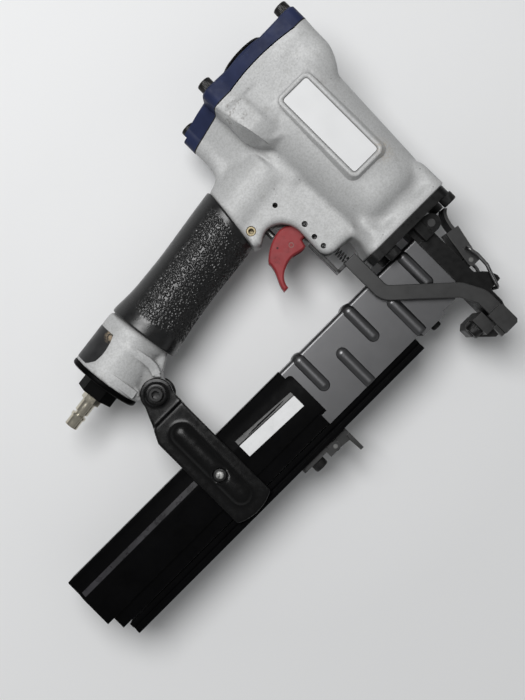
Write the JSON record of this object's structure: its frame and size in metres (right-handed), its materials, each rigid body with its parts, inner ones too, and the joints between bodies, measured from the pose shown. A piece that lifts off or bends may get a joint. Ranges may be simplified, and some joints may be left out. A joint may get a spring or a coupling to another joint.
{
  "type": "pneumatic stapler",
  "caption": "Air-powered hand stapler with rubber-gripped handle, red trigger, blue cylinder cap, spring contact foot, latched nose door and a long slide-out staple magazine.",
  "frame": {"origin": "on the driver line, level with the end face of the contact foot, in the tool's mid-plane", "axes": "+X forward, away from the handle; +Y up the driver line from the nose to the cap; +Z to the tool's right side, which faces up as the tool lies on its left side"},
  "size_m": [0.3656, 0.2546, 0.08],
  "materials": {
    "casting": "satin silver paint on a die casting",
    "white_plate": "bare white plate",
    "grip_rubber": "pebbled",
    "black_plastic": "satin",
    "plug_metal": "nickel plated, worn to brass",
    "gasket": "matte",
    "cap_blue": "navy paint",
    "black_screw": "black oxide",
    "bright_steel": "ground",
    "spring_steel": "drawn wire",
    "sleeve_metal": "honed",
    "seal_rubber": "smooth",
    "dark_steel": "satin, lightly oiled",
    "nose_steel": "black, bead blasted",
    "trigger_red": "scuffed",
    "brass": "turned",
    "magazine_grey": "satin dark grey paint",
    "rail_black": "black anodised",
    "bracket_black": "satin black paint",
    "white_plastic": "natural"
  },
  "bodies": {
    "frame": {"body_casting": "casting", "name_plate": "white_plate", "grip_sleeve": "grip_rubber", "handle_end_cap": "black_plastic", "air_plug": "plug_metal", "cap_gasket": "gasket", "cylinder_cap": "cap_blue", "cap_screws": "black_screw", "deflector_screw": "black_screw", "cylinder_sleeve": "sleeve_metal", "sleeve_seals": "seal_rubber", "bumper": "seal_rubber", "nose_body": "nose_steel", "nose_screws": "black_screw", "door_pin": "dark_steel", "trigger_pin": "bright_steel", "guard_pins": "dark_steel", "valve_pin": "brass", "trigger_valve": "black_plastic", "valve_spring": "spring_steel", "head_valve_spring": "spring_steel", "contact_spring": "spring_steel", "magazine_front": "magazine_grey", "magazine_screw": "black_screw", "magazine_rear": "rail_black", "bracket_right": "bracket_black", "bracket_left": "bracket_black", "bracket_rivets": "dark_steel", "bracket_screw": "black_screw", "bracket_nut": "dark_steel"},
    "deflector": {"exhaust_deflector": "black_plastic"},
    "head_valve": {"head_valve": "white_plastic"},
    "piston": {"piston": "sleeve_metal", "piston_ring": "seal_rubber", "driver_blade": "bright_steel"},
    "door": {"nose_door": "nose_steel", "latch_pin": "bright_steel"},
    "latch_lever": {"latch_lever": "dark_steel"},
    "latch_wire": {"latch_wire": "spring_steel"},
    "contact": {"contact_arm": "dark_steel", "contact_foot": "dark_steel", "foot_screw": "black_screw", "trip_link": "dark_steel"},
    "trigger": {"trigger": "trigger_red", "trigger_pawl": "bright_steel", "pawl_pin": "bright_steel"},
    "valve_stem": {"valve_stem": "bright_steel"},
    "rail": {"lower_rail": "rail_black", "rail_core": "dark_steel", "latch_mount": "dark_steel", "latch_mount_pin": "bright_steel", "rail_screw": "black_screw"},
    "rail_latch": {"rail_latch": "dark_steel"},
    "pusher": {"pusher": "dark_steel", "pusher_spring": "spring_steel"}
  },
  "joints": [
    {"name": "deflector_turn", "type": "hinge", "parent": "frame", "child": "deflector", "pos_m": [0, 0.25, 0], "axis": [0, 1, 0], "continuous": true},
    {"name": "head_valve_lift", "type": "slide", "parent": "frame", "child": "head_valve", "axis": [0, 1, 0], "range_m": [0, 0.004], "stiffness_N_per_m": 1500, "springref_m": -0.004, "deforming": ["head_valve_spring"]},
    {"name": "piston_stroke", "type": "slide", "parent": "frame", "child": "piston", "axis": [0, -1, 0], "range_m": [0, 0.072]},
    {"name": "door_open", "type": "hinge", "parent": "frame", "child": "door", "pos_m": [0.0075, 0.0845, 0], "axis": [0, 0, 1], "range_deg": [0, 45]},
    {"name": "latch_flip", "type": "hinge", "parent": "door", "child": "latch_lever", "pos_m": [0.0106, 0.0486, 0], "axis": [0, 0, -1], "range_deg": [0, 90]},
    {"name": "wire_swing", "type": "hinge", "parent": "latch_lever", "child": "latch_wire", "pos_m": [0.0135, 0.0563, 0], "axis": [0, 0, 1], "range_deg": [0, 108]},
    {"name": "contact_slide", "type": "slide", "parent": "frame", "child": "contact", "axis": [0, 1, 0], "range_m": [0, 0.008], "stiffness_N_per_m": 600, "springref_m": -0.008, "deforming": ["contact_spring"]},
    {"name": "trigger_pull", "type": "hinge", "parent": "frame", "child": "trigger", "pos_m": [-0.051, 0.142, 0], "axis": [0, 0, -1], "range_deg": [0, 11], "stiffness_Nm_per_rad": 0.6, "springref_deg": -11.46},
    {"name": "stem_push", "type": "slide", "parent": "frame", "child": "valve_stem", "axis": [0, 1, 0], "range_m": [0, 0.0037], "deforming": ["valve_spring"]},
    {"name": "rail_slide", "type": "slide", "parent": "frame", "child": "rail", "axis": [-1, 0, 0], "range_m": [0, 0.18]},
    {"name": "rail_latch_press", "type": "hinge", "parent": "rail", "child": "rail_latch", "pos_m": [-0.139, 0.0245, 0], "axis": [0, 0, -1], "range_deg": [0, 14], "stiffness_Nm_per_rad": 0.3, "springref_deg": -17.19},
    {"name": "pusher_slide", "type": "slide", "parent": "rail", "child": "pusher", "axis": [-1, 0, 0], "range_m": [0, 0.19], "stiffness_N_per_m": 10, "springref_m": -0.4}
  ],
  "couplings": [
    {"joint": "wire_swing", "follows": "latch_flip", "ratio": 1.2},
    {"joint": "stem_push", "follows": "trigger_pull", "m_per_rad": 0.0185}
  ]
}
